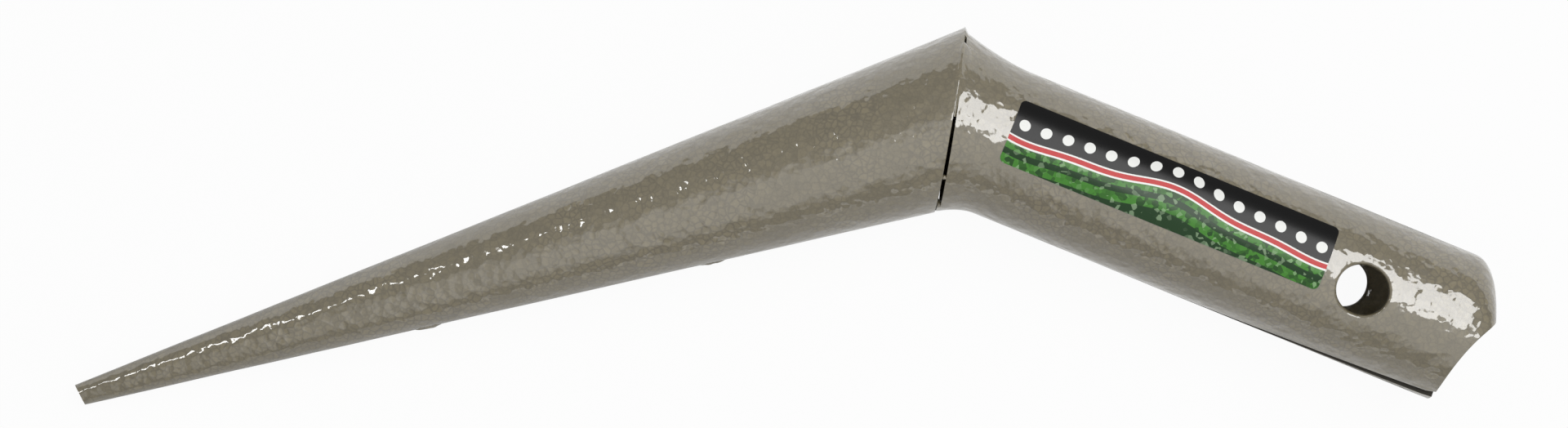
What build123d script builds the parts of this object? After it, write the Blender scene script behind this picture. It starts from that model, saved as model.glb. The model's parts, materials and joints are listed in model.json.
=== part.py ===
from build123d import *
import os
from math import atan, cos, degrees, radians, sin, sqrt

# A dibber of rolled sheet steel: a long conical spike, welded at a sharp ridge to a tubular handle.
# Sizes are in millimetres and degrees. The two axes cross at the joint, and both fall away from it.

# Sheet that the spike and the handle are rolled from
sheet = 1.5

# Spike
spike_length = 193.6        # along its axis, from the joint to the tip
spike_diameter = 35.3       # across the cone where the two axes cross
spike_slope = 17.34         # fall of its axis, away from the ridge
tip_diameter = 4.6
tip_lean = 10.0             # of the cut at the tip, towards the ridge
tip_turn = 12.0             # of that cut, towards the near side
tip_closed = 4.0            # length that is closed solid behind the tip
spike_seam_gap = 0.5        # between the rolled edges, along the underside

# Tack welds on the spike's seam
tack_places = (57.0, 118.5) # along the spike's axis, from the joint
tack_length = 7.5
tack_radius = 1.3
tack_proud = 0.4            # how far a tack stands out of the cone

# Handle
handle_diameter = 32.0
handle_length = 120.5       # along its axis, from the joint to the crown of its end
handle_slope = 22.2         # fall of its axis, away from the ridge
flare_length = 11.1         # along the axis, to where the flared mouth has run out into the tube
flare_power = 1.7           # how sharply the flare opens towards the mouth
end_depth = 8.0             # along the axis, over which the top is pressed down to the lip
end_draw = 1.2              # how far each side is drawn in where that top ends
end_cut_radius = 28.0       # of the hollow cut that leaves the lip above and the open end below
end_cut_setback = 6.05      # from the crown back to the deepest point of that cut
end_cut_drop = 12.0         # of that deepest point, below the handle's axis
seam_opening = 45.0         # along the axis, from the joint to where the seam starts to open
seam_far_start = -0.6       # the seam's far edge at the joint, from the underside towards the near side
seam_far_end = 4.6          # the same edge at the handle's end
seam_near_start = 0.4       # the seam's near edge at the joint
seam_near_end = 7.6         # the same edge at the handle's end
hang_hole_diameter = 11.0
hang_hole_place = 91.0      # along the handle's axis, from the joint

# Joint
joint_lean = 8.8            # lean of the handle's mouth from upright, towards the handle
joint_gap = 0.65            # between the two mouths, at the crossing of the axes
joint_wedge = 0.6           # angle by which the gap opens towards the underside
rim_step_top = 0.9          # how far the handle's rim lies inside the spike's, at the ridge
rim_step_bottom = 0.35
rim_step_side = 0.4
weld_radius = 0.95
weld_top_span = 21.0        # the short weld over the ridge, to each side of it
weld_side_start = 31.0      # the weld down each side, round from the ridge
weld_side_end = 86.0
weld_bottom_span = 22.0     # the short weld under the joint, to each side of the underside

# Label, a printed film on the straight part of the handle
label_film = 0.15
label_margin = 0.1          # clear of the flared mouth
label_length = 71.0
label_low_angle = -13.4     # round from the near side, upwards
label_high_angle = 38.0
label_corner = 1.2

# Values worked out from these
spike_radius = spike_diameter / 2
handle_radius = handle_diameter / 2
taper = (spike_radius - tip_diameter / 2) / spike_length
spike_half_angle = atan(taper)
straight_end = handle_length - end_depth
beyond = handle_radius      # how far a cutting shape runs past what it cuts


def spike_radius_at(place):
    """The cone's outer radius at a place along its axis."""
    return spike_radius - taper * place


# The end cut is part of a circle, in the plane of the two axes
end_cut_centre = Vector(handle_length - end_cut_setback + end_cut_radius, -end_cut_drop)


def end_cut_place(height):
    """Where the end cut crosses a line along the handle, at a height above its axis."""
    return end_cut_centre.X - sqrt(end_cut_radius**2 - (height - end_cut_centre.Y) ** 2)


def bench_lean(end_place):
    """Lean of the tool's middle plane, along and across, with its cone and the handle's end on a bench."""
    apex_place = spike_radius / taper
    spike_along, spike_down = cos(radians(spike_slope)), sin(radians(spike_slope))
    run_along = end_place * cos(radians(handle_slope)) + apex_place * spike_along
    run_up = apex_place * spike_down - end_place * sin(radians(handle_slope))
    cross = spike_along * run_up - spike_down * run_along
    along = (sin(spike_half_angle) * run_up - handle_radius * spike_down) / cross
    across_it = (handle_radius * spike_along - sin(spike_half_angle) * run_along) / cross
    return along, across_it


# The handle touches the bench a little below its axis, by its own lean
first_along, first_across = bench_lean(end_cut_place(0))
end_lean = first_along * sin(radians(handle_slope)) + first_across * cos(radians(handle_slope))
lean_along, lean_across = bench_lean(end_cut_place(-handle_radius * end_lean))
upright = sqrt(1 - lean_along**2 - lean_across**2)
level = sqrt(1 - lean_along**2)

# Middle plane of the tool: x towards the handle, y towards the ridge, z towards the labelled near side
tool = Plane(
    origin=(0, 0, 0),
    x_dir=(level, 0, lean_along),
    z_dir=(-lean_along * upright / level, -lean_across / level, upright),
)


def turned(frame, angle, place=0):
    """A frame turned by an angle in its own plane, about a place on its x axis."""
    return Plane(frame.location * Location((place, 0, 0)) * Rotation(0, 0, angle))


# x runs along each piece's axis, away from the joint, and y of the spike points to its underside
spike_frame = turned(tool, 180 + spike_slope)
handle_frame = turned(tool, -handle_slope)
handle_seam_frame = Plane(handle_frame.location * Rotation(90, 0, 0))
# x runs square to the mouth, and y up to the ridge
joint_frame = turned(tool, -joint_lean)
spike_mouth_frame = turned(joint_frame, -joint_wedge)
weld_frame = turned(joint_frame, -joint_wedge / 2)


def across(frame, place):
    """The plane square to a frame's x axis: its own x is the frame's y, its own y the frame's z."""
    return Plane(origin=frame.from_local_coords((place, 0, 0)), x_dir=frame.y_dir, z_dir=frame.x_dir)


# Rim of the spike's mouth, from the crossing of the axes: up to the ridge, down to the underside, sideways
mouth_turn = radians(spike_slope + joint_lean)
spike_rim_top = spike_radius / (cos(mouth_turn) - taper * sin(mouth_turn))
spike_rim_bottom = spike_radius / (cos(mouth_turn) + taper * sin(mouth_turn))
spike_rim_side = spike_radius
handle_rim_top = spike_rim_top - joint_gap * sin(mouth_turn) - rim_step_top
handle_rim_bottom = spike_rim_bottom + joint_gap * sin(mouth_turn) - rim_step_bottom
handle_rim_side = spike_rim_side - rim_step_side


def flare_section(inset, share):
    """A slice of the flared mouth, from its rim (share 0) to the round tube (share 1)."""
    rise = (1 - share) ** flare_power
    radius = handle_radius - inset
    corners = []
    for side, rim in ((1, handle_rim_top), (-1, handle_rim_bottom)):
        rim_corner = joint_frame.from_local_coords(Vector(0, side * (rim - inset), 0))
        rim_place = handle_frame.to_local_coords(rim_corner)
        place = rim_place.X + (flare_length - rim_place.X) * share
        height = side * radius + (rim_place.Y - side * radius) * rise
        corners.append(handle_frame.from_local_coords(Vector(place, height, 0)))
    top, bottom = corners
    half_width = radius + (handle_rim_side - handle_radius) * rise
    upwards = (top - bottom).normalized()
    plane = Plane(origin=(top + bottom) / 2, x_dir=upwards, z_dir=upwards.cross(handle_frame.z_dir))
    with BuildSketch(plane) as section:
        Ellipse((top - bottom).length / 2, half_width)
    return section.sketch


def end_section(inset, turn):
    """A slice of the handle's end, drawn in at the sides, with an upper half that gets flatter."""
    radius = handle_radius - inset
    height = radius * cos(radians(turn))
    half_width = radius - end_draw * (1 - cos(radians(turn)))
    place = straight_end + (end_depth - inset) * sin(radians(turn))
    with BuildSketch(across(handle_frame, place)) as section:
        with BuildLine():
            EllipticalCenterArc((0, 0), height, half_width, -90, arc_size=90)
            EllipticalCenterArc((0, 0), height, half_width, 0, arc_size=90)
            EllipticalCenterArc((0, 0), radius, half_width, 90, arc_size=90)
            EllipticalCenterArc((0, 0), radius, half_width, 180, arc_size=90)
        make_face()
    return section.sketch


def handle_form(inset, flare_start):
    """The handle as a closed form, drawn in from its outer surface by an inset."""
    flare_shares = (flare_start, 0.25, 0.5, 0.75, 1.0)
    end_turns = (0.0, 25.0, 50.0, 70.0, 85.0)
    with BuildPart() as form:
        loft(sections=[flare_section(inset, share) for share in flare_shares])
        with BuildSketch(across(handle_frame, flare_length)):
            Circle(handle_radius - inset)
        extrude(amount=straight_end - flare_length)
        loft(sections=[end_section(inset, turn) for turn in end_turns])
    return form.part


handle_outside = handle_form(0, 0.0)
handle_inside = handle_form(sheet, -0.25)

# Welds at the joint: a short one over the ridge, one down each side, and a short one underneath
weld_top_reach = (spike_rim_top + handle_rim_top - sheet) / 2
weld_bottom_reach = (spike_rim_bottom + handle_rim_bottom - sheet) / 2
weld_side_reach = (spike_rim_side + handle_rim_side - sheet) / 2
weld_runs = (
    (weld_top_reach, -weld_top_span, weld_top_span),
    (weld_top_reach, weld_side_start, weld_side_end),
    (weld_top_reach, -weld_side_end, -weld_side_start),
    (weld_bottom_reach, 180 - weld_bottom_span, 180 + weld_bottom_span),
)
with BuildPart() as joint_welds:
    for reach, start, end in weld_runs:
        turns = [radians(turn) for turn in (start, (start + end) / 2, end)]
        with BuildLine(across(weld_frame, -joint_gap / 2)) as run:
            ThreePointArc([(reach * cos(turn), weld_side_reach * sin(turn)) for turn in turns])
        with BuildSketch(Plane(origin=run.line @ 0, z_dir=run.line % 0)):
            Circle(weld_radius)
        sweep(path=run.line)
joint_welds.part.label = "joint_welds"

# Tack welds, long and round, sunk into the spike's seam
generator = turned(spike_frame, -degrees(spike_half_angle)).x_dir
with BuildPart() as spike_seam_tacks:
    for tack_place in tack_places:
        tack_height = spike_radius_at(tack_place) + tack_proud - tack_radius
        tack_centre = spike_frame.from_local_coords((tack_place, tack_height, 0))
        with BuildSketch(Plane(origin=tack_centre, x_dir=generator, z_dir=spike_frame.z_dir)):
            SlotOverall(tack_length, 2 * tack_radius)
            split(bisect_by=Plane.XZ)
        revolve(axis=Axis(tack_centre, generator))
spike_seam_tacks.part.label = "spike_seam_tacks"

# Spike: a hollow cone, slit along its underside, cut aslant at its mouth and at its tip
mouth_spare = spike_radius
tip_spare = tip_diameter / 2
inner_offset = sheet / cos(spike_half_angle)
with BuildPart() as spike:
    with BuildSketch(spike_frame):
        with BuildLine():
            Polyline(
                (-mouth_spare, 0),
                (-mouth_spare, spike_radius_at(-mouth_spare)),
                (spike_length + tip_spare, spike_radius_at(spike_length + tip_spare)),
                (spike_length + tip_spare, 0),
                close=True,
            )
        make_face()
    revolve(axis=Axis(spike_frame.origin, spike_frame.x_dir))
    with BuildSketch(spike_frame):
        with BuildLine():
            Polyline(
                (-mouth_spare, 0),
                (-mouth_spare, spike_radius_at(-mouth_spare) - inner_offset),
                (spike_length - tip_closed, spike_radius_at(spike_length - tip_closed) - inner_offset),
                (spike_length - tip_closed, 0),
                close=True,
            )
        make_face()
    revolve(axis=Axis(spike_frame.origin, spike_frame.x_dir), mode=Mode.SUBTRACT)
    with BuildSketch(spike_frame):
        with BuildLine():
            Polyline(
                (-mouth_spare, 0),
                (-mouth_spare, spike_diameter),
                (spike_length - tip_closed, spike_diameter),
                (spike_length - tip_closed, 0),
                close=True,
            )
        make_face()
    extrude(amount=spike_seam_gap / 2, both=True, mode=Mode.SUBTRACT)
    split(bisect_by=across(spike_mouth_frame, -joint_gap), keep=Keep.BOTTOM)
    tip_frame = Plane(turned(spike_frame, tip_lean, spike_length).location * Rotation(0, -tip_turn, 0))
    split(bisect_by=across(tip_frame, 0), keep=Keep.BOTTOM)
    add(joint_welds.part, mode=Mode.SUBTRACT)
    add(spike_seam_tacks.part, mode=Mode.SUBTRACT)
spike.part.label = "spike"

# Handle: a hollow form, with its end cut, seam and hang hole
with BuildPart() as handle:
    add(handle_outside)
    add(handle_inside, mode=Mode.SUBTRACT)
    with BuildSketch(handle_frame):
        with Locations(end_cut_centre):
            Circle(end_cut_radius)
    extrude(amount=handle_diameter, both=True, mode=Mode.SUBTRACT)
    with BuildSketch(handle_seam_frame):
        with BuildLine():
            Polyline(
                (-beyond, seam_far_start),
                (seam_opening, seam_far_start),
                (handle_length, seam_far_end),
                (handle_length, seam_near_end),
                (seam_opening, seam_near_start),
                (-beyond, seam_near_start),
                close=True,
            )
        make_face()
    extrude(amount=handle_diameter, mode=Mode.SUBTRACT)
    with BuildSketch(handle_frame):
        with Locations((hang_hole_place, 0)):
            Circle(hang_hole_diameter / 2)
    extrude(amount=handle_diameter, both=True, mode=Mode.SUBTRACT)
    add(joint_welds.part, mode=Mode.SUBTRACT)
handle.part.label = "handle"

# Label: a film round the near side of the tube
label_start = flare_length + label_margin
label_angle = label_high_angle - label_low_angle
label_plane = Plane(
    origin=handle_frame.from_local_coords((label_start + label_length, 0, 0)),
    x_dir=handle_frame.z_dir,
    z_dir=-handle_frame.x_dir,
)
with BuildPart() as label:
    with BuildSketch(label_plane):
        with BuildLine():
            outer = CenterArc((0, 0), handle_radius + label_film, label_low_angle, label_angle)
            inner = CenterArc((0, 0), handle_radius, label_low_angle, label_angle)
            Line(outer @ 0, inner @ 0)
            Line(outer @ 1, inner @ 1)
        make_face()
    extrude(amount=label_length)
    corners = label.edges().filter_by(GeomType.LINE).sort_by(SortBy.LENGTH)[:4]
    fillet(corners, radius=label_corner)
label.part.label = "label"

# The origin lies on the bench, under the middle of the tool
pieces = (spike, handle, joint_welds, spike_seam_tacks, label)
whole = Compound([piece.part for piece in pieces]).bounding_box()
to_origin = Location((-whole.center().X, -whole.center().Y, -whole.min.Z))
for piece in pieces:
    piece.part.move(to_origin)

os.makedirs("parts", exist_ok=True)
export_step(spike.part, "parts/spike.step")
export_step(handle.part, "parts/handle.step")
export_step(joint_welds.part, "parts/joint_welds.step")
export_step(spike_seam_tacks.part, "parts/spike_seam_tacks.step")
export_step(label.part, "parts/label.step")
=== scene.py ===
"""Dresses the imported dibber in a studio: rolled steel sheets, welds, paint and a printed label."""
import json
import math

import bmesh
import bpy
from bpy.props import FloatProperty, FloatVectorProperty, IntProperty, PointerProperty
from mathutils import Matrix, Vector


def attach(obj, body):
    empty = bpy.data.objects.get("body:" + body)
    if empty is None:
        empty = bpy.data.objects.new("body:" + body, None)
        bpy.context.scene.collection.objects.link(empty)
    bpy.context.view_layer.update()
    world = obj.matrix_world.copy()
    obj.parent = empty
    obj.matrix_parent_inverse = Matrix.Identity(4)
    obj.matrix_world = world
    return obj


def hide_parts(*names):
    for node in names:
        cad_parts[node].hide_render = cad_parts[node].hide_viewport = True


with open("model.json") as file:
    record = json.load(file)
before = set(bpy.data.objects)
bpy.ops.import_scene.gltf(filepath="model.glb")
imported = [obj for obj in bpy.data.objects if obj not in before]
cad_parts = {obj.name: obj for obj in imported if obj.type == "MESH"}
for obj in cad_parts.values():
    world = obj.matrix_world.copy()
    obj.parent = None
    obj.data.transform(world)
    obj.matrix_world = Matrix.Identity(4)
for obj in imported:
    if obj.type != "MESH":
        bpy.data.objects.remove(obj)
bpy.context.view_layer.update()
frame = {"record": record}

bl_info = {
    "name": "Dibber",
    "version": (1, 0, 0),
    "blender": (4, 5, 0),
    "location": "3D View > Sidebar > Dibber",
    "description": "Rolls, welds, paints and labels a steel dibber round its packed frame",
    "category": "Object",
}

HANG_HOLE = next(mount for mount in frame["record"]["mounts"] if mount["name"] == "hang_hole")
HOLE_RADIUS = HANG_HOLE["dims"]["r_mm"] / 1000
HANDLE_RADIUS = HANG_HOLE["dims"]["length_mm"] / 2000  # the hole runs right across the tube
FOLD = 1e-6  # metres: an edge shorter than this is a fold
SMOOTH = math.radians(32)  # flatter edges are shaded smooth
SHARP = math.radians(40)  # sharper edges are rounded
FACES = 0.8  # cosine of the most that a face turns from a direction and still looks that way
ACROSS = 0.6  # cosine of the most that a face turns from a line and still lies across it
# The second slot is painted shade: a dark colour on the cut faces in the slits, where shade falls.
PAINTED, SLIT_SHADE = 0, 1  # material slots of a sheet
WHITE = (1, 1, 1, 1)


# Settings

def length(name, description, default):
    """A size in metres."""
    return FloatProperty(name=name, description=description, default=default, precision=5, unit="LENGTH")


def angle(name, description, degrees):
    """An angle, given in degrees."""
    return FloatProperty(name=name, description=description, default=math.radians(degrees), subtype="ANGLE")


def colour(name, description, default):
    """A linear colour."""
    return FloatVectorProperty(
        name=name, description=description, default=default, size=3, min=0, max=1, subtype="COLOR"
    )


def number(name, description, default):
    """A plain number."""
    return FloatProperty(name=name, description=description, default=default)


class SheetSettings(bpy.types.PropertyGroup):
    thickness: length("Thickness", "Of the steel that both pieces are rolled from", 0.0015)
    edge: length("Edge", "Rounding of the painted edges", 0.0003)
    joint_edge: length("Joint edge", "Rounding of the rims at the joint", 0.00015)
    cell: length("Cell", "Spacing of the points on the sheets", 0.0008)
    dent_height: length("Dent height", "Of the slow waves in the rolled sheet", 0.00014)
    dent_size: length("Dent size", "Across those waves", 0.024)


class SpikeSettings(bpy.types.PropertyGroup):
    length: length("Length", "Along the axis, from the joint to the tip", 0.1936)
    diameter: length("Diameter", "Across the cone, where the two axes cross", 0.0353)
    tip_diameter: length("Tip diameter", "Across the tip", 0.0046)
    slope: angle("Slope", "Fall of the axis away from the ridge", 17.34)
    tip_lean: angle("Tip lean", "Of the cut at the tip, towards the ridge", 10.0)
    tip_turn: angle("Tip turn", "Of that cut, towards the near side", 12.0)
    seam_gap: length("Seam gap", "Between the rolled edges, at the mouth", 0.0005)
    tack_length: length("Tack length", "Of a tack weld on the seam", 0.0075)
    tack_radius: length("Tack radius", "Of a tack weld", 0.0013)
    tack_proud: length("Tack height", "How far a tack stands out of the cone", 0.0004)
    tack_first: length("First tack", "Along the axis, from the joint", 0.057)
    tack_second: length("Second tack", "Along the axis, from the joint", 0.1185)


class HandleSettings(bpy.types.PropertyGroup):
    length: length("Length", "Along the axis, from the joint to the crown of its end", 0.1205)
    slope: angle("Slope", "Fall of the axis away from the ridge", 22.2)
    flare: length("Flare", "Along the axis, to where the mouth has run out into the tube", 0.0111)
    flare_power: number("Flare power", "How sharply the flare opens towards the mouth", 1.7)
    end_depth: length("End depth", "Over which the top is pressed down to the lip", 0.008)
    end_draw: length("End draw", "How far each side is drawn in where that top ends", 0.0012)
    cut_radius: length("Cut radius", "Of the hollow cut below the lip", 0.028)
    cut_setback: length("Cut setback", "From the crown back to the deepest point of the cut", 0.00605)
    cut_drop: length("Cut drop", "Of that deepest point, below the axis", 0.012)
    seam_opening: length("Seam opening", "Along the axis, to where the seam starts to open", 0.045)
    seam_far: length("Seam's far edge", "From underneath to the near side, at the joint", -0.0006)
    seam_far_end: length("Far edge's end", "From underneath to the near side, at the end", 0.0046)
    seam_near: length("Seam's near edge", "From underneath to the near side, at the joint", 0.0004)
    seam_near_end: length("Near edge's end", "From underneath to the near side, at the end", 0.0076)
    hole_place: length("Hole place", "Along the axis, from the joint", 0.091)
    hole_edge: length("Hole edge", "Rounding of the hang hole's edges", 0.00055)


class JointSettings(bpy.types.PropertyGroup):
    lean: angle("Lean", "Of the handle's mouth from upright", 8.8)
    gap: length("Gap", "Between the two mouths", 0.00065)
    wedge: angle("Wedge", "By which the gap opens towards the underside", 0.6)
    step_top: length("Step at the ridge", "From the spike's rim in to the handle's", 0.0009)
    step_bottom: length("Step underneath", "From the spike's rim in to the handle's", 0.00035)
    step_side: length("Step at the side", "From the spike's rim in to the handle's", 0.0004)
    weld_radius: length("Weld radius", "Of the beads, from their spine to their root", 0.00095)
    weld_back: length("Weld back", "How far a bead runs out over the spike", 0.0012)
    weld_front: length("Weld front", "How far a bead runs out over the handle", 0.0026)
    weld_short: number("Short welds", "Share of that run-out at the ridge and underneath", 0.3)
    weld_proud: length("Weld height", "Of a bead's crown over the sheets", 0.00004)
    weld_edge: length("Weld edge", "How far a bead's edges lie under its crown", 0.0002)
    weld_fade: angle("Weld fade", "Round from the ridge, where a side weld starts to sink in", 64.0)
    weld_sunk: length("Weld sunk", "Depth in the slit at the end of a side weld", 0.00045)
    weld_taper: angle("Weld taper", "Over which the ends of a weld sink into the slit", 3.0)
    top_span: angle("Ridge weld", "To each side of the ridge", 21.0)
    side_start: angle("Side weld start", "Round from the ridge", 31.0)
    side_end: angle("Side weld end", "Round from the ridge", 86.0)
    bottom_span: angle("Bottom weld", "To each side of the underside", 22.0)
    drip_turn: angle("Paint drip", "Round from the ridge to a drip across the open slit", 128.5)


class LabelSettings(bpy.types.PropertyGroup):
    film: length("Film", "Thickness of the film", 0.00015)
    start: length("Start", "Along the handle's axis, from the joint", 0.0112)
    length: length("Length", "Along the handle", 0.071)
    low: angle("Low edge", "Round from the near side, upwards", -13.4)
    high: angle("High edge", "Round from the near side, upwards", 38.0)
    corner: length("Corner", "Radius of the corners", 0.0012)
    dot: length("Dot", "Radius of the printed dots", 0.0012)
    dots: IntProperty(name="Dots", description="In the printed row", default=15)
    leaf: colour("Leaf", "Main green", (0.055, 0.22, 0.025))
    shade: colour("Shade", "Dark green", (0.008, 0.04, 0.008))
    pale: colour("Pale", "Pale green", (0.35, 0.50, 0.30))
    line: colour("Line", "Thin lines and dots", (0.83, 0.84, 0.81))
    accent: colour("Accent", "Narrow stripe", (0.53, 0.018, 0.018))
    dark: colour("Dark", "Dark field", (0.003, 0.003, 0.003))
    gloss: number("Film roughness", "Roughness of the film", 0.24)
    index: number("Film index", "Refractive index of the film", 1.36)


class PaintSettings(bpy.types.PropertyGroup):
    body: colour("Body", "Hammered paint", (0.173, 0.145, 0.082))
    border: colour("Border", "Soft borders of its cells", (0.116, 0.097, 0.056))
    cell: length("Cell", "Spacing of the cells of the hammered finish", 0.0014)
    cell_height: length("Cell height", "Of the bowls in those cells", 0.00006)
    lump: length("Lump", "Spacing of the lumps in the paint", 0.0026)
    lump_height: length("Lump height", "Of those lumps", 0.0003)
    lump_share: number("Finer lumps", "Height of the lumps half that size, as a share", 0.35)
    # Painted shade: a dark colour for the cut faces in the slits, standing in for the shade there.
    bare: colour("Bare steel", "Cut edges in the slits, where no paint ran in", (0.042, 0.037, 0.028))
    coat_index: number("Coat index", "Refractive index of the gloss", 2.0)
    gloss: number("Coat roughness", "Roughness of the gloss", 0.08)
    matt: number("Paint roughness", "Roughness of the paint under the gloss", 0.5)
    # Roughness of the painted shade in the slits.
    dull: number("Steel roughness", "Roughness of the bare steel", 0.7)


class StageSettings(bpy.types.PropertyGroup):
    camera_distance: length("Camera distance", "From the tool's middle plane", 0.751)
    foot_along: length("Camera along", "From the joint, along the tool", -0.0264)
    foot_up: length("Camera up", "From the joint, towards the ridge", 0.0088)
    aim_along: length("Aim along", "From the joint, along the tool", -0.0355)
    aim_up: length("Aim up", "From the joint, towards the ridge", -0.0193)
    lens: number("Lens", "Focal length in millimetres", 81.73)
    sensor: number("Sensor", "Width in millimetres", 36.0)
    room: number("Room light", "Level of the even light from all round", 0.385)
    softbox: number("Softbox", "Level of the softbox above the handle", 4.3)
    strip: number("Strip", "Level of the narrow lamp above the spike", 9.0)
    fill: number("Fill", "Level of the two panels below the camera", 0.6)


class DibberSettings(bpy.types.PropertyGroup):
    sheet: PointerProperty(type=SheetSettings)
    spike: PointerProperty(type=SpikeSettings)
    handle: PointerProperty(type=HandleSettings)
    joint: PointerProperty(type=JointSettings)
    label: PointerProperty(type=LabelSettings)
    paint: PointerProperty(type=PaintSettings)
    stage: PointerProperty(type=StageSettings)


# Places on the tool

def turned(place, turn):
    """A frame turned in its own plane."""
    return place @ Matrix.Rotation(turn, 4, "Z")


def tool_frame(tool):
    """Middle plane of the tool at the joint: x to the handle, y to the ridge, z to the near side."""
    near = Vector(HANG_HOLE["axis"]).normalized()
    along = Vector((near.z, 0, -near.x)).normalized()
    place = Matrix((along, near.cross(along), near)).transposed().to_4x4()
    handle_run = turned(place, -tool.handle.slope).col[0].to_3d()
    place.translation = Vector(HANG_HOLE["pos_m"]) - handle_run * tool.handle.hole_place
    return place


def spike_frame(tool):
    """x along the spike to its tip, y to its underside."""
    return turned(tool_frame(tool), math.pi + tool.spike.slope)


def handle_frame(tool):
    """x along the handle to its end, y to the ridge side."""
    return turned(tool_frame(tool), -tool.handle.slope)


def taper(spike):
    """How much the cone's radius falls along its axis."""
    return (spike.diameter - spike.tip_diameter) / 2 / spike.length


def rims(tool):
    """Reach of the two rims from where the axes cross: each at the ridge, underneath and at the side."""
    joint, radius, fall = tool.joint, tool.spike.diameter / 2, taper(tool.spike)
    turn = tool.spike.slope + joint.lean
    top = radius / (math.cos(turn) - fall * math.sin(turn))
    bottom = radius / (math.cos(turn) + fall * math.sin(turn))
    shift = joint.gap * math.sin(turn)
    spike_rim = (top, bottom, radius)
    handle_rim = (top - shift - joint.step_top, bottom + shift - joint.step_bottom, radius - joint.step_side)
    return spike_rim, handle_rim


def rim_slopes(tool):
    """Climb of the two sheets along the tool at their rims: at the ridge, underneath and at the side."""
    handle, turn, cone = tool.handle, tool.spike.slope + tool.joint.lean, math.atan(taper(tool.spike))
    spike_slopes = (math.tan(turn + cone), -math.tan(turn - cone), math.tan(cone))
    lean = handle.slope - tool.joint.lean
    top, bottom, side = rims(tool)[1]

    def flare_slope(rim, back):
        """Angle of the flared wall at a rim, which lies this far back from the joint."""
        rise = (rim * math.cos(lean) - HANDLE_RADIUS) * handle.flare_power
        return math.atan(rise / (handle.flare + back))

    handle_slopes = (
        -math.tan(flare_slope(top, top * math.sin(lean)) + lean),
        -math.tan(flare_slope(bottom, -bottom * math.sin(lean)) - lean),
        -(side - HANDLE_RADIUS) * handle.flare_power / handle.flare,
    )
    return spike_slopes, handle_slopes


def round_joint(values, turn):
    """A value at a turn from the ridge, between its values at the ridge, underneath and at the side."""
    top, bottom, side = values
    far = top if math.cos(turn) > 0 else bottom
    return side + (far - side) * abs(math.cos(turn))


def rim_point(rim, turn):
    """A point on a rim, at a turn from the ridge."""
    top, bottom, side = rim
    far = top if math.cos(turn) > 0 else bottom
    return Vector((0, far * math.cos(turn), side * math.sin(turn)))


def eased(value, low, high):
    """0 below a range, 1 above it and a smooth rise between."""
    share = min(max((value - low) / (high - low), 0), 1)
    return share * share * (3 - 2 * share)


# Modelling by hand

def deselect():
    """Nothing selected, in object mode."""
    if bpy.context.object and bpy.context.object.mode != "OBJECT":
        bpy.ops.object.mode_set(mode="OBJECT")
    bpy.ops.object.select_all(action="DESELECT")


def new_blank(name, add, stretch=(1, 1, 1), **settings):
    """A primitive, stretched to its size, with its scale and place in its mesh."""
    deselect()
    add(**settings)
    piece = bpy.context.object
    piece.name = piece.data.name = name
    bpy.ops.transform.resize(value=stretch, orient_type="LOCAL", center_override=piece.location)
    bpy.ops.object.transform_apply(location=True, rotation=True, scale=True)
    return piece


def pick(piece, kind, test):
    """Selects the points, edges or faces that pass a test, in edit mode."""
    bpy.ops.object.mode_set(mode="EDIT")
    bpy.ops.mesh.select_mode(type={"verts": "VERT", "edges": "EDGE", "faces": "FACE"}[kind])
    bpy.ops.mesh.select_all(action="DESELECT")
    net = bmesh.from_edit_mesh(piece.data)
    for part in getattr(net, kind):
        if test(part):
            part.select_set(True)
    net.select_flush_mode()
    bmesh.update_edit_mesh(piece.data)


def shape(piece, place):
    """Moves each point of a blank to its place on the formed piece, which no operator could follow."""
    bpy.ops.object.mode_set(mode="OBJECT")
    for point in piece.data.vertices:
        point.co = place(point.co)
    piece.data.update()


def modify(piece, kind, **settings):
    """Adds a modifier and applies it."""
    bpy.ops.object.mode_set(mode="OBJECT")
    change = piece.modifiers.new(kind.title(), kind)
    for setting, value in settings.items():
        setattr(change, setting, value)
    bpy.ops.object.modifier_apply(modifier=change.name)


def dent(piece, height, size):
    """Slow waves over the surface."""
    waves = bpy.data.textures.new("waves", "CLOUDS")
    waves.noise_scale = size
    waves.noise_depth = 1
    modify(piece, "DISPLACE", texture=waves, texture_coords="LOCAL", strength=height)


def thicken(piece, thickness, outwards, cut_slot=PAINTED):
    """Gives a sheet its thickness, and its cut edges a material slot of their own, such as the painted shade
    of the slits.
    """
    modify(
        piece, "SOLIDIFY", thickness=thickness, offset=1 if outwards else -1, use_quality_normals=True,
        material_offset_rim=cut_slot,
    )


def trim(piece, run, reach, spare):
    """Brings the cut edge of a thickened sheet into the plane across a run, at a reach along it."""
    corners = set()
    for face in piece.data.polygons:
        crosses = face.material_index == SLIT_SHADE and abs(face.normal.dot(run)) > ACROSS
        if crosses and abs(face.center.dot(run) - reach) < spare:
            corners.update(face.vertices)
    for corner in corners:
        point = piece.data.vertices[corner].co
        point.x += (reach - point.dot(run)) / run.x
    piece.data.update()


def round_edges(piece, width, where):
    """Rounds the sharp edges that pass a test, then clears faces that have folded to nothing."""
    pick(piece, "edges", lambda e: len(e.link_faces) == 2 and e.calc_face_angle(0) > SHARP and where(e))
    bpy.ops.mesh.bevel(offset=width, segments=3, affect="EDGES", clamp_overlap=True)
    bpy.ops.mesh.select_all(action="SELECT")
    bpy.ops.mesh.dissolve_degenerate(threshold=FOLD)
    bpy.ops.object.mode_set(mode="OBJECT")


def middle(edge):
    """Middle of an edge."""
    return (edge.verts[0].co + edge.verts[1].co) / 2


def dress(piece, *materials):
    """Gives a piece its materials, of which the first covers it."""
    for material in materials:
        piece.data.materials.append(material)


def refinish(piece, is_shaded):
    """Gives the faces that pass a test the painted shade of the slits, and the paint to the rest."""
    for face in piece.data.polygons:
        face.material_index = SLIT_SHADE if is_shaded(face) else PAINTED


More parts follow.
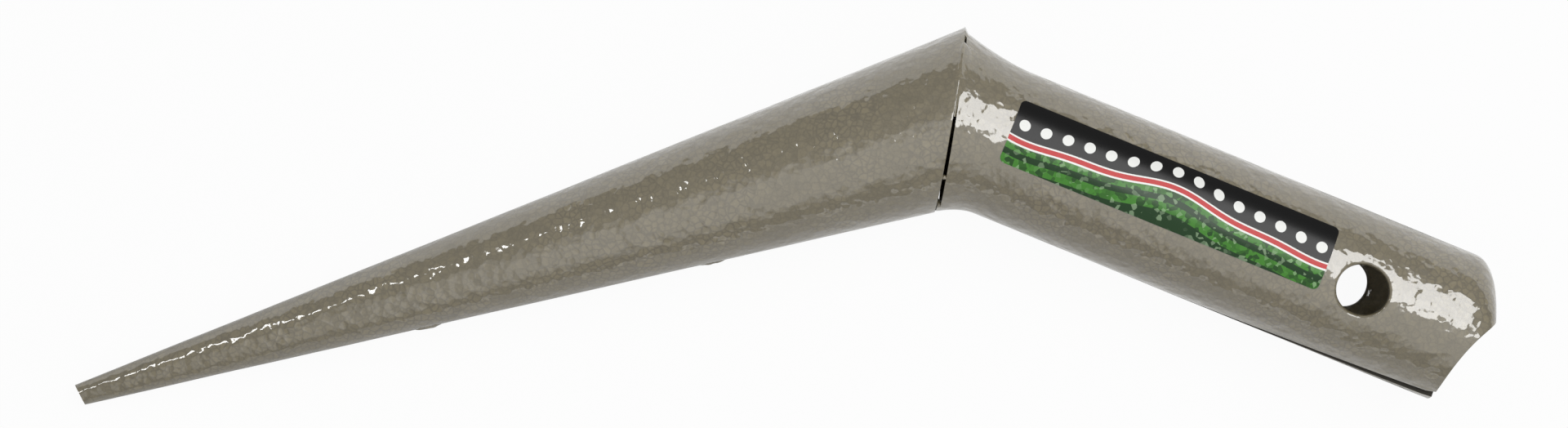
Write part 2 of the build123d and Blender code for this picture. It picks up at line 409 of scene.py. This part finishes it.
def join(pieces, name):
    """Joins pieces into the first of them, under a new name."""
    deselect()
    for piece in pieces:
        piece.select_set(True)
    bpy.context.view_layer.objects.active = pieces[0]
    bpy.ops.object.join()
    pieces[0].name = pieces[0].data.name = name
    return pieces[0]


def finish(piece, place, node):
    """Sets a formed piece on the tool, in place of its CAD node."""
    bpy.ops.object.mode_set(mode="OBJECT")
    piece.matrix_world = place
    bpy.ops.object.transform_apply(location=True, rotation=True, scale=True)
    bpy.ops.object.shade_smooth_by_angle(angle=SMOOTH)
    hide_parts(node)
    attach(piece, "root")


# Finishes

def new_material(name):
    """An empty node material, with its tree."""
    material = bpy.data.materials.new(name)
    material.use_nodes = True
    material.node_tree.nodes.clear()
    return material, material.node_tree


def add_node(tree, kind, inputs=(), **settings):
    """A shader node with its settings, and values or links on its inputs."""
    node = tree.nodes.new("ShaderNode" + kind)
    for setting, value in settings.items():
        setattr(node, setting, value)
    for socket, value in dict(inputs).items():
        if isinstance(value, bpy.types.NodeSocket):
            tree.links.new(value, node.inputs[socket])
        else:
            node.inputs[socket].default_value = value
    return node


def math_node(tree, operation, first, second=0.0, third=0.0):
    """The result of a sum on one or more values."""
    return add_node(tree, "Math", {0: first, 1: second, 2: third}, operation=operation).outputs[0]


def ranged(tree, value, low, high, to_low, to_high):
    """A value moved smoothly from one range into another."""
    inputs = {"Value": value, "From Min": low, "From Max": high, "To Min": to_low, "To Max": to_high}
    return add_node(tree, "MapRange", inputs, interpolation_type="SMOOTHSTEP").outputs[0]


def product(tree, value, *others):
    """Values multiplied together."""
    for other in others:
        value = math_node(tree, "MULTIPLY", value, other)
    return value


def mixed(tree, factor, first, second, blend="MIX"):
    """A colour mixed from two, by the mix node's sockets for colours."""
    inputs = {0: factor, 6: first, 7: second}
    node = add_node(tree, "Mix", inputs, data_type="RGBA", blend_type=blend)
    return node.outputs[2]


def noise(tree, spot, scale, detail, roughness=0.5):
    """Outputs of a noise with so many waves to a metre."""
    inputs = {"Vector": spot, "Scale": scale, "Detail": detail, "Roughness": roughness}
    return add_node(tree, "TexNoise", inputs).outputs


def voronoi(tree, spot, scale, feature, **inputs):
    """Outputs of a net of cells with so many to a metre."""
    inputs = {"Vector": spot, "Scale": scale, **inputs}
    return add_node(tree, "TexVoronoi", inputs, feature=feature).outputs


def surface(tree, inputs):
    """Ends a material's tree in one surface."""
    node = add_node(tree, "BsdfPrincipled", inputs)
    add_node(tree, "OutputMaterial", {"Surface": node.outputs[0]})


def opaque(rgb):
    """A colour with its alpha."""
    return (*rgb, 1.0)


def hammered_paint(paint):
    """Glossy grey-olive paint, drawn up into lumps and small cells with soft darker borders."""
    if "hammered_paint" in bpy.data.materials:
        return bpy.data.materials["hammered_paint"]
    material, tree = new_material("hammered_paint")
    cells = 1 / paint.cell
    drift_rate, reach = 0.55 * cells, 0.9 * paint.cell  # of the wander in the cells' borders
    mottle_rate, flake_rate = 60.0, 2600.0  # slow patches and fine flakes to a metre
    border_width, bowl_softness = 0.22, 0.3  # shares of a cell
    centre = (0.5, 0.5, 0.5)

    spot = add_node(tree, "TexCoord").outputs["Object"]
    wander = noise(tree, spot, drift_rate, 2.0)["Color"]
    wander = add_node(tree, "VectorMath", {0: wander, 1: centre}, operation="SUBTRACT").outputs[0]
    inputs = {0: wander, 1: (reach, reach, reach), 2: spot}
    drifted = add_node(tree, "VectorMath", inputs, operation="MULTIPLY_ADD").outputs[0]
    edge = voronoi(tree, drifted, cells, "DISTANCE_TO_EDGE")["Distance"]
    shade = add_node(tree, "SeparateColor", {0: voronoi(tree, drifted, cells, "F1")["Color"]}).outputs[0]
    mottle = noise(tree, spot, mottle_rate, 4.0)["Fac"]
    flake = noise(tree, spot, flake_rate, 1.0)["Fac"]

    worn = ranged(tree, mottle, 0.35, 0.62, 0.35, 1.0)
    border = product(tree, ranged(tree, edge, 0.0, border_width, 1.0, 0.0), worn)
    mottle_tone = ranged(tree, mottle, 0.3, 0.7, 0.9, 1.1)
    flake_tone = ranged(tree, flake, 0.3, 0.7, 0.94, 1.06)
    cell_tone = ranged(tree, shade, 0.0, 1.0, 0.93, 1.07)
    tone = product(tree, mottle_tone, flake_tone, cell_tone)
    grey = add_node(tree, "CombineColor", {0: tone, 1: tone, 2: tone}).outputs[0]
    base = mixed(tree, border, opaque(paint.body), opaque(paint.border))
    base = mixed(tree, 1.0, base, grey, "MULTIPLY")

    lumps = noise(tree, spot, 1 / paint.lump, 1.0, paint.lump_share)["Fac"]
    lumpy = add_node(tree, "Bump", {"Height": lumps, "Distance": paint.lump_height}).outputs[0]
    bowl = voronoi(tree, drifted, cells, "SMOOTH_F1", Smoothness=bowl_softness)["Distance"]
    bowls = {"Height": product(tree, bowl, bowl), "Distance": paint.cell_height, "Normal": lumpy}
    relief = add_node(tree, "Bump", bowls).outputs[0]
    surface(tree, {
        "Base Color": base, "Roughness": paint.matt, "Normal": relief, "Coat Normal": relief,
        "Coat Weight": 1.0, "Coat Roughness": paint.gloss, "Coat IOR": paint.coat_index,
    })
    return material


def bare_steel(paint):
    """Painted shade: a dull dark colour for the cut faces in the slits, where shade falls."""
    if "bare_steel" in bpy.data.materials:
        return bpy.data.materials["bare_steel"]
    material, tree = new_material("bare_steel")
    surface(tree, {"Base Color": opaque(paint.bare), "Roughness": paint.dull})
    return material


def printed_film(label):
    """A printed film: rolling bands of leaves, a narrow red stripe, and a dark field with a row of dots."""
    waves = ((8.0, 0.6, 0.10), (19.0, 1.3, 0.03))  # along the label: rate, start and height of each
    leaf_top, dot_level = 0.41, 0.72  # heights on the label, from 0 at its low edge to 1
    leaf_rates = (75.0, 16.0, 1.0)  # leaves along and across the label
    pitch, girth = label.length / label.dots, (label.high - label.low) * HANDLE_RADIUS
    stops = (  # height at which each band starts, and its colour
        (0.0, label.shade), (0.09, label.leaf), (0.23, label.shade), (0.32, label.leaf),
        (leaf_top, label.line), (0.435, label.accent), (0.505, label.line), (0.53, label.dark),
    )

    material, tree = new_material("printed_film")
    spot = add_node(tree, "UVMap").outputs[0]
    axes = add_node(tree, "SeparateXYZ", {0: spot})
    along, level = axes.outputs[0], axes.outputs[1]
    for rate, start, height in waves:
        wave = math_node(tree, "SINE", math_node(tree, "MULTIPLY_ADD", along, rate, start))
        level = math_node(tree, "MULTIPLY_ADD", wave, height, level)
    bands = add_node(tree, "ValToRGB", {0: level})
    ramp = bands.color_ramp
    ramp.interpolation = "CONSTANT"
    for place, _ in stops[2:]:
        ramp.elements.new(place)
    for element, (place, tint) in zip(ramp.elements, stops):
        element.position, element.color = place, opaque(tint)

    leaves = add_node(tree, "VectorMath", {0: spot, 1: leaf_rates}, operation="MULTIPLY").outputs[0]
    blade = add_node(tree, "SeparateColor", {0: voronoi(tree, leaves, 1.0, "F1")["Color"]}).outputs[0]
    below = math_node(tree, "LESS_THAN", level, leaf_top)
    dark_leaves = product(tree, below, ranged(tree, blade, 0.35, 0.95, 0.0, 0.85))
    pale_leaves = product(tree, below, ranged(tree, blade, 0.25, 0.0, 0.0, 0.5))
    printed = mixed(tree, dark_leaves, bands.outputs[0], opaque(label.shade))
    printed = mixed(tree, pale_leaves, printed, opaque(label.pale))

    share = math_node(tree, "FRACT", product(tree, along, label.dots))
    aside = product(tree, math_node(tree, "SUBTRACT", share, 0.5), pitch)
    above = product(tree, math_node(tree, "SUBTRACT", level, dot_level), girth)
    squares = math_node(tree, "ADD", product(tree, aside, aside), product(tree, above, above))
    in_dot = math_node(tree, "LESS_THAN", math_node(tree, "SQRT", squares), label.dot)
    printed = mixed(tree, in_dot, printed, opaque(label.line))
    surface(tree, {"Base Color": printed, "Roughness": label.gloss, "IOR": label.index})
    return material


def floor_white():
    """White to the eye and in reflections, but for the shadow on it and two patches that reflect darker."""
    seen, dim, grey = 0.95, 0.05, 0.65  # share of white to the eye and in the patches, and the floor's tone
    patches = (  # centre, and the distances from it over which a patch fades out
        ((-0.06, -0.245, 0), 0.215, 0.3),
        ((0.1235, -0.016, 0), 0.024, 0.034),
    )
    material, tree = new_material("floor_white")
    spot = add_node(tree, "TexCoord").outputs["Object"]
    rays = add_node(tree, "LightPath").outputs
    share = math_node(tree, "MAXIMUM", rays["Is Glossy Ray"], rays["Is Transmission Ray"])
    for centre, fade_start, fade_end in patches:
        away = add_node(tree, "VectorMath", {0: spot, 1: centre}, operation="DISTANCE").outputs["Value"]
        share = product(tree, share, ranged(tree, away, fade_start, fade_end, dim, 1.0))
    share = math_node(tree, "MULTIPLY_ADD", rays["Is Camera Ray"], seen, share)
    lit = add_node(tree, "BsdfDiffuse", {"Color": opaque((grey, grey, grey))})
    white = add_node(tree, "Emission", {"Color": WHITE, "Strength": 1.0})
    both = add_node(tree, "MixShader", {0: share, 1: lit.outputs[0], 2: white.outputs[0]})
    add_node(tree, "OutputMaterial", {"Surface": both.outputs[0]})
    return material


# Pieces

class DIBBER_OT_spike(bpy.types.Operator):
    """Rolls a sheet into the long cone, slit along its underside, with a closed blunt tip"""
    bl_idname = "dibber.spike"
    bl_label = "Spike"

    def execute(self, context):
        tool = context.scene.dibber
        sheet, spike, joint = tool.sheet, tool.spike, tool.joint
        radius, fall = spike.diameter / 2, taper(spike)
        row_stretch = 1.25  # along the cone the points lie further apart than round it
        rows = round(spike.length / (sheet.cell * row_stretch))
        columns = round(math.pi * spike.diameter / sheet.cell)
        seam = spike.seam_gap / radius
        mouth_run = turned(tool_frame(tool), -joint.lean - joint.wedge).col[0].to_3d()
        mouth = spike_frame(tool).to_3x3().inverted() @ mouth_run
        mouth_zone = sheet.thickness
        tip_turns = Matrix.Rotation(spike.tip_lean, 3, "Z") @ Matrix.Rotation(-spike.tip_turn, 3, "Y")
        tip = tip_turns @ Vector((1, 0, 0))
        tip_reach = spike.length * tip.x
        cap_rings = (0.8, 0.4)  # rings in the closed tip, each as a share of the last

        def meets(plane, offset, turn):
            """Where a line along the cone meets a plane across it."""
            lean = plane.y * math.cos(turn) - plane.z * math.sin(turn)
            return (offset - lean * radius) / (plane.x - lean * fall)

        def place(point):
            """A point of the flat blank, rolled into the cone."""
            turn = seam / 2 + (2 * math.pi - seam) * (point.y + 0.5)
            start, end = meets(mouth, -joint.gap, turn), meets(tip, tip_reach, turn)
            x = start + (end - start) * (point.x + 0.5)
            reach = radius - fall * x
            return Vector((x, reach * math.cos(turn), -reach * math.sin(turn)))

        def on_tip(edge):
            """Whether an edge is on the sheet's rim at the tip."""
            in_plane = all(abs(corner.co.dot(tip) - tip_reach) < sheet.edge for corner in edge.verts)
            return in_plane and len(edge.link_faces) == 1

        def on_mouth(face):
            """Whether a face is on the cut edge of the mouth."""
            in_plane = abs(face.center.dot(mouth) + joint.gap) < sheet.joint_edge
            return in_plane and face.normal.dot(mouth) > FACES

        piece = new_blank(
            "spike_sheet", bpy.ops.mesh.primitive_grid_add,
            x_subdivisions=rows, y_subdivisions=columns, size=1,
        )
        shape(piece, place)
        pick(piece, "edges", on_tip)
        for share in cap_rings:
            bpy.ops.mesh.extrude_edges_move()
            bpy.ops.transform.resize(value=(share, share, share), center_override=(spike.length, 0, 0))
        bpy.ops.mesh.extrude_edges_move()
        bpy.ops.mesh.merge(type="CENTER")
        dent(piece, sheet.dent_height, sheet.dent_size)
        dress(piece, hammered_paint(tool.paint), bare_steel(tool.paint))
        thicken(piece, sheet.thickness, outwards=False, cut_slot=SLIT_SHADE)
        trim(piece, mouth, -joint.gap, mouth_zone)
        round_edges(piece, sheet.joint_edge, lambda e: abs(middle(e).dot(mouth) + joint.gap) < mouth_zone)
        # Only the cut faces at the mouth keep the painted shade, which darkens the slit at the joint.
        refinish(piece, on_mouth)
        finish(piece, spike_frame(tool), "spike")
        return {"FINISHED"}


class DIBBER_OT_handle(bpy.types.Operator):
    """Rolls a sheet into the tube, with a flared mouth, a pressed end, an open seam and a hang hole"""
    bl_idname = "dibber.handle"
    bl_label = "Handle"

    def execute(self, context):
        tool = context.scene.dibber
        sheet, handle, joint = tool.sheet, tool.handle, tool.joint
        girth = 2 * math.pi * HANDLE_RADIUS
        straight_end = handle.length - handle.end_depth
        tube = straight_end - handle.flare
        crowding = 1.3  # rows of points lie this much closer where the sheet bends
        flare_blank, end_blank = handle.flare * crowding, handle.end_depth * crowding
        blank = flare_blank + tube + end_blank
        middle_turn = math.pi / 2
        ease = HANDLE_RADIUS  # round the blank, over which the seam's opening is taken up
        cut_x, cut_y = handle.length - handle.cut_setback + handle.cut_radius, -handle.cut_drop
        halvings = 24  # steps in the search for the end cut
        rim_top, rim_bottom, rim_side = rims(tool)[1]
        rim_lean = handle.slope - joint.lean
        rim = Vector((math.cos(rim_lean), math.sin(rim_lean), 0))
        mouth_zone = sheet.thickness
        seam_zone = -0.8 * HANDLE_RADIUS  # the seam lies lower than this
        endways = 0.5  # cosine of the most that a face turns from the axis and still is an end face

        def opened(point, x):
            """Distance round the blank, with the seam opened out."""
            share = max(x - handle.seam_opening, 0) / (handle.length - handle.seam_opening)
            near = handle.seam_near + (handle.seam_near_end - handle.seam_near) * share
            far = handle.seam_far + (handle.seam_far_end - handle.seam_far) * share
            edge = HANDLE_RADIUS * math.asin((near if point.y < 0 else -far) / HANDLE_RADIUS)
            away = girth / 2 - abs(point.y)
            if away < ease:
                away = edge + away * (ease - edge) / ease
            return math.copysign(girth / 2 - away, point.y)

        def flared(share, turn):
            """A point of the flared mouth, from its rim (share 0) to the tube (share 1)."""
            rise = (1 - share) ** handle.flare_power
            corners = []
            for side, reach in ((1, rim_top), (-1, rim_bottom)):
                rim_x, rim_y = -math.sin(rim_lean) * side * reach, math.cos(rim_lean) * side * reach
                x = rim_x + (handle.flare - rim_x) * share
                y = side * HANDLE_RADIUS + (rim_y - side * HANDLE_RADIUS) * rise
                corners.append(Vector((x, y, 0)))
            top, bottom = corners
            centre, half_height = (top + bottom) / 2, (top - bottom) / 2
            half_width = HANDLE_RADIUS + (rim_side - HANDLE_RADIUS) * rise
            return centre + half_height * math.sin(turn) + Vector((0, 0, half_width * math.cos(turn)))

        def pressed(bend, turn):
            """A point of the pressed end: round the bend, its top gets flatter and its sides draw in."""
            height = HANDLE_RADIUS * math.sin(turn)
            if height > 0:
                height *= math.cos(bend)
            half_width = HANDLE_RADIUS - handle.end_draw * (1 - math.cos(bend))
            x = straight_end + handle.end_depth * math.sin(bend)
            return Vector((x, height, half_width * math.cos(turn)))

        def last_bend(turn):
            """The bend at which a line along the handle meets the end cut."""
            low, high = 0.0, math.pi / 2
            for _ in range(halvings):
                bend = (low + high) / 2
                point = pressed(bend, turn)
                cut = cut_x - math.sqrt(max(handle.cut_radius**2 - (point.y - cut_y) ** 2, 0))
                low, high = (bend, high) if point.x < cut else (low, bend)
            return low

        def place(point):
            """A point of the flat blank on the formed handle."""
            x = point.x - flare_blank + handle.flare
            turn = middle_turn + opened(point, x) / HANDLE_RADIUS
            if x < handle.flare:
                return flared(point.x / flare_blank, turn)
            if x > straight_end:
                return pressed(last_bend(turn) * (x - straight_end) / end_blank, turn)
            return Vector((x, HANDLE_RADIUS * math.sin(turn), HANDLE_RADIUS * math.cos(turn)))

        def by_hole(edge):
            """Whether an edge lies round the hang hole."""
            return math.hypot(middle(edge).x - handle.hole_place, middle(edge).y) < HOLE_RADIUS + sheet.edge

        def is_cut(face):
            """Whether a face is on a cut edge of the mouth or of the seam."""
            on_mouth = face.normal.dot(rim) < -FACES and abs(face.center.dot(rim)) < sheet.joint_edge
            outwards = Vector((0, face.center.y, face.center.z)).normalized()
            on_edge = abs(face.normal.dot(outwards)) < ACROSS and abs(face.normal.x) < endways
            return on_mouth or (on_edge and face.center.y < seam_zone)

        piece = new_blank(
            "handle_sheet", bpy.ops.mesh.primitive_grid_add,
            x_subdivisions=round(blank / sheet.cell), y_subdivisions=round(girth / sheet.cell),
            size=1, location=(blank / 2, 0, 0), stretch=(blank, girth, 1),
        )
        for turn in (0, math.pi):
            y = (turn - middle_turn) * HANDLE_RADIUS
            centre = Vector((handle.hole_place - handle.flare + flare_blank, y, 0))
            self.punch(piece, centre, sheet.cell, handle.hole_edge)
        shape(piece, place)
        dent(piece, sheet.dent_height, sheet.dent_size)
        dress(piece, hammered_paint(tool.paint), bare_steel(tool.paint))
        thicken(piece, sheet.thickness, outwards=False, cut_slot=SLIT_SHADE)
        trim(piece, rim, 0, mouth_zone)
        round_edges(piece, sheet.joint_edge, lambda e: abs(middle(e).dot(rim)) < mouth_zone)
        round_edges(piece, sheet.edge, lambda e: middle(e).dot(rim) > mouth_zone and not by_hole(e))
        round_edges(piece, handle.hole_edge, by_hole)
        # The cut faces at the mouth and along the seam get the painted shade, which darkens the slits.
        refinish(piece, is_cut)
        finish(piece, handle_frame(tool), "handle")
        return {"FINISHED"}

    def punch(self, piece, centre, cell, edge):
        """Opens a hole in the flat blank, with a round edge that is held above it until it is rolled."""
        hole_points = 56
        cleared, bridged = edge + cell / 2, edge + 3 * cell  # margins round the hole
        reach_y = HANDLE_RADIUS * math.asin(HOLE_RADIUS / HANDLE_RADIUS)

        def inside(point, margin):
            """Whether a point lies in the hole or in a margin round it."""
            along = (point.x - centre.x) / (HOLE_RADIUS + margin)
            around = (point.y - centre.y) / (reach_y + margin)
            return math.hypot(along, around) < 1

        pick(piece, "faces", lambda f: any(inside(v.co, cleared) for v in f.verts))
        bpy.ops.mesh.delete(type="FACE")
        raised = centre + Vector((0, 0, cell))
        bpy.ops.mesh.primitive_circle_add(vertices=hole_points, radius=HOLE_RADIUS, location=raised)
        bpy.ops.transform.resize(value=(1, reach_y / HOLE_RADIUS, 1), center_override=raised)
        pick(piece, "edges", lambda e: len(e.link_faces) < 2 and inside(middle(e), bridged))
        bpy.ops.mesh.bridge_edge_loops()
        pick(piece, "faces", lambda f: f.normal.z < 0)
        bpy.ops.mesh.flip_normals()
        bpy.ops.object.mode_set(mode="OBJECT")


class DIBBER_OT_joint_welds(bpy.types.Operator):
    """Lays smooth weld beads round the joint, and a drip of paint across its slit"""
    bl_idname = "dibber.joint_welds"
    bl_label = "Joint welds"

    def execute(self, context):
        tool = context.scene.dibber
        joint = tool.joint
        runs = (
            (-joint.top_span, joint.top_span),
            (joint.side_start, joint.side_end),
            (-joint.side_end, -joint.side_start),
            (math.pi - joint.bottom_span, math.pi + joint.bottom_span),
        )
        beads = [self.bead(tool, *run) for run in runs]
        piece = join([*beads, self.drip(tool)], "weld_beads")
        middle_lean = joint.lean + joint.wedge / 2
        place = turned(tool_frame(tool), -middle_lean) @ Matrix.Translation((-joint.gap / 2, 0, 0))
        dress(piece, hammered_paint(tool.paint))
        finish(piece, place, "joint_welds")
        return {"FINISHED"}

    def bead(self, tool, start, end):
        """One bead, drawn from a round bar into a smooth run from the spike's rim down to the handle."""
        joint = tool.joint
        sides = 32
        short_end, full_start = 0.42, 0.71  # sine of the turn from the ridge: short run-out, full run-out
        fill_power, edge_power = 1.5, 4  # how sharply a bead falls to the handle, and to its own edges
        spike_rim, handle_rim = rims(tool)
        spike_slopes, handle_slopes = rim_slopes(tool)
        top, _, side = spike_rim
        steps = round((end - start) * side / tool.sheet.cell)
        lip = joint.gap / 2

        def place(point):
            """A point of the upright bar, laid round the joint and spread over both rims."""
            turn = start + (end - start) * (point.z + 0.5)
            across, inwards = -point.y / joint.weld_radius, point.x < 0
            open_end = 1 - eased(min(turn - start, end - turn), 0, joint.weld_taper)
            if abs(turn) < math.pi / 2:
                open_end = max(open_end, eased(abs(turn), joint.weld_fade, joint.side_end))
            fullness = eased(abs(math.sin(turn)), short_end, full_start)
            spread = joint.weld_short + (1 - joint.weld_short) * fullness
            front = joint.weld_front * spread
            run_out = front if across > 0 else joint.weld_back * spread
            x = across * (run_out + (lip - run_out) * open_end)
            spike_point, handle_point = rim_point(spike_rim, turn), rim_point(handle_rim, turn)
            normal = Vector((0, spike_point.y / top**2, spike_point.z / side**2)).normalized()
            spike_reach, handle_reach = spike_point.dot(normal), handle_point.dot(normal)
            spike_climb, handle_climb = round_joint(spike_slopes, turn), round_joint(handle_slopes, turn)
            spike_skin = spike_reach + spike_climb * (x + lip)
            handle_skin = handle_reach + handle_climb * (x - lip)
            step = spike_reach - handle_reach + 2 * lip * handle_climb
            filled = max(1 - (x + lip) / (front + lip), 0)
            skin = spike_skin if x < -lip else handle_skin + step * filled**fill_power
            skin += joint.weld_proud - joint.weld_edge * across**edge_power - joint.weld_sunk * open_end
            if inwards:
                skin -= joint.weld_radius * math.sqrt(max(1 - across * across, 0))
            spine = spike_point - normal * spike_reach
            return spine + normal * skin + Vector((x, 0, 0))

        piece = new_blank(
            "bead", bpy.ops.mesh.primitive_cylinder_add, vertices=sides, radius=joint.weld_radius, depth=1
        )
        pick(piece, "edges", lambda e: abs(e.verts[0].co.z - e.verts[1].co.z) > 0.5)
        bpy.ops.mesh.subdivide(number_cuts=steps)
        shape(piece, place)
        return piece

    def drip(self, tool):
        """A small drip of paint that closes the slit for a short way."""
        joint = tool.joint
        narrowing, ripple = 0.8, 0.3  # its length along the slit and its dents, as shares of its width
        spike_rim, handle_rim = rims(tool)
        spot = (rim_point(spike_rim, joint.drip_turn) + rim_point(handle_rim, joint.drip_turn)) / 2
        piece = new_blank(
            "drip", bpy.ops.mesh.primitive_uv_sphere_add, segments=24, ring_count=16, radius=joint.gap,
            location=spot * (1 - joint.gap / spot.length), stretch=(1, narrowing, narrowing),
        )
        dent(piece, joint.gap * ripple, joint.gap)
        return piece


class DIBBER_OT_seam_tacks(bpy.types.Operator):
    """Drops the two tack welds into the spike's seam"""
    bl_idname = "dibber.seam_tacks"
    bl_label = "Seam tacks"

    def execute(self, context):
        tool = context.scene.dibber
        spike = tool.spike
        ripple = 0.9  # height of a tack's dents, as a share of its own
        tacks = []
        for along in (spike.tack_first, spike.tack_second):
            height = spike.diameter / 2 - taper(spike) * along + spike.tack_proud - spike.tack_radius
            tack = new_blank(
                "tack", bpy.ops.mesh.primitive_uv_sphere_add, segments=48, ring_count=32, radius=1,
                location=(along, height, 0), rotation=(0, 0, -math.atan(taper(spike))),
                stretch=(spike.tack_length / 2, spike.tack_radius, spike.tack_radius),
            )
            dent(tack, spike.tack_proud * ripple, spike.tack_radius)
            tacks.append(tack)
        piece = join(tacks, "seam_tacks")
        dress(piece, hammered_paint(tool.paint))
        finish(piece, spike_frame(tool), "spike_seam_tacks")
        return {"FINISHED"}


class DIBBER_OT_label(bpy.types.Operator):
    """Sticks the printed film round the near side of the handle"""
    bl_idname = "dibber.label"
    bl_label = "Label"

    def execute(self, context):
        tool = context.scene.dibber
        label = tool.label
        girth = (label.high - label.low) * HANDLE_RADIUS
        strips = 24

        def place(point):
            """A point of the flat film, bent round the handle."""
            turn = point.y / HANDLE_RADIUS
            return Vector((point.x, HANDLE_RADIUS * math.sin(turn), HANDLE_RADIUS * math.cos(turn)))

        low_y = label.low * HANDLE_RADIUS
        piece = new_blank(
            "label_film", bpy.ops.mesh.primitive_plane_add, size=1,
            location=(label.start + label.length / 2, low_y + girth / 2, 0),
            stretch=(label.length, girth, 1),
        )
        pick(piece, "verts", lambda v: True)
        bpy.ops.mesh.bevel(offset=label.corner, segments=6, affect="VERTICES")
        for strip in range(1, strips):
            bpy.ops.mesh.select_all(action="SELECT")
            bpy.ops.mesh.bisect(plane_co=(0, low_y + girth * strip / strips, 0), plane_no=(0, 1, 0))
        shape(piece, place)
        thicken(piece, label.film, outwards=True)
        dress(piece, printed_film(label))
        finish(piece, handle_frame(tool), "label")
        return {"FINISHED"}


# Stage

class DIBBER_OT_stage(bpy.types.Operator):
    """Sets the pale floor, the soft light and the camera"""
    bl_idname = "dibber.stage"
    bl_label = "Stage"

    def execute(self, context):
        tool = context.scene.dibber
        stage, place = tool.stage, tool_frame(tool)
        context.scene.view_settings.view_transform = "Standard"
        self.floor()
        self.room(context, stage.room)
        self.panel(
            "softbox", place, stage.softbox, distance=1.0, size=(0.79, 0.48), swing=42, tilt=27.4, roll=22.5
        )
        self.panel(
            "strip", place, stage.strip, distance=1.37, size=(0.24, 0.13), swing=146, tilt=45.2, roll=35.4
        )
        fill = dict(level=stage.fill / 2, swing=-78, tilt=23.5, roll=7)
        self.panel("fill", place, distance=0.66, size=(0.66, 0.56), **fill)
        self.panel("fill_edge", place, distance=0.7, size=(0.98, 0.86), **fill)
        self.camera(context, stage, place)
        return {"FINISHED"}

    def floor(self):
        """A wide pale floor that rises gently far away."""
        flat_reach, rim_rise, rim_spread, rim_lean = 3, 0.9, 2, math.radians(7.5)
        floor = new_blank(
            "floor", bpy.ops.mesh.primitive_circle_add, vertices=96, radius=flat_reach, fill_type="NGON"
        )
        pick(floor, "edges", lambda e: True)
        rim = (0, 0, rim_rise)
        bpy.ops.mesh.extrude_edges_move(TRANSFORM_OT_translate={"value": rim})
        bpy.ops.transform.resize(value=(rim_spread, rim_spread, 1), center_override=rim)
        bpy.ops.transform.rotate(value=-rim_lean, orient_axis="X", center_override=rim)
        bpy.ops.object.mode_set(mode="OBJECT")
        dress(floor, floor_white())

    def room(self, context, level):
        """Even light from all round."""
        world = bpy.data.worlds.new("room")
        context.scene.world = world
        world.use_nodes = True
        tree = world.node_tree
        tree.nodes.clear()
        light = add_node(tree, "Background", {"Color": WHITE, "Strength": level})
        add_node(tree, "OutputWorld", {"Surface": light.outputs[0]})

    def panel(self, name, place, level, distance, size, swing, tilt, roll):
        """A soft lamp that faces the joint, with its turns in degrees."""
        facing = turned(place, math.radians(swing)) @ Matrix.Rotation(math.radians(tilt), 4, "Y")
        facing = turned(facing, math.radians(roll))
        deselect()
        bpy.ops.object.light_add(type="AREA")
        lamp = bpy.context.object
        lamp.name = lamp.data.name = name
        lamp.data.shape = "RECTANGLE"
        lamp.data.size, lamp.data.size_y = size
        lamp.data.energy = level * math.pi * size[0] * size[1]
        lamp.matrix_world = facing @ Matrix.Translation((0, 0, distance))

    def camera(self, context, stage, place):
        """The camera, at the photograph's view."""
        eye = place @ Vector((stage.foot_along, stage.foot_up, stage.camera_distance))
        aim = place @ Vector((stage.aim_along, stage.aim_up, 0))
        back = (eye - aim).normalized()
        up = (place.col[1].to_3d() - back * place.col[1].to_3d().dot(back)).normalized()
        deselect()
        bpy.ops.object.camera_add(location=eye)
        camera = bpy.context.object
        camera.name = camera.data.name = "camera"
        camera.rotation_euler = Matrix((up.cross(back), up, back)).transposed().to_euler()
        camera.data.lens = stage.lens
        camera.data.sensor_fit = "HORIZONTAL"
        camera.data.sensor_width = stage.sensor
        context.scene.camera = camera


class DIBBER_PT_panel(bpy.types.Panel):
    """Lists the dibber's pieces and settings"""
    bl_idname = "DIBBER_PT_panel"
    bl_label = "Dibber"
    bl_space_type = "VIEW_3D"
    bl_region_type = "UI"
    bl_category = "Dibber"

    def draw(self, context):
        tool = context.scene.dibber
        for operator in OPERATORS:
            self.layout.operator(operator.bl_idname)
        for group in (tool.sheet, tool.spike, tool.handle, tool.joint, tool.label, tool.paint, tool.stage):
            box = self.layout.box()
            for setting in group.bl_rna.properties.keys():
                if setting not in ("rna_type", "name"):
                    box.prop(group, setting)


OPERATORS = (
    DIBBER_OT_spike, DIBBER_OT_handle, DIBBER_OT_joint_welds, DIBBER_OT_seam_tacks, DIBBER_OT_label,
    DIBBER_OT_stage,
)
CLASSES = (
    SheetSettings, SpikeSettings, HandleSettings, JointSettings, LabelSettings, PaintSettings, StageSettings,
    DibberSettings, *OPERATORS, DIBBER_PT_panel,
)


def register():
    for entry in CLASSES:
        bpy.utils.register_class(entry)
    bpy.types.Scene.dibber = PointerProperty(type=DibberSettings)


def unregister():
    del bpy.types.Scene.dibber
    for entry in reversed(CLASSES):
        bpy.utils.unregister_class(entry)


def main():
    register()
    bpy.ops.dibber.spike()
    bpy.ops.dibber.handle()
    bpy.ops.dibber.joint_welds()
    bpy.ops.dibber.seam_tacks()
    bpy.ops.dibber.label()
    bpy.ops.dibber.stage()


if __name__ == "__main__":
    main()
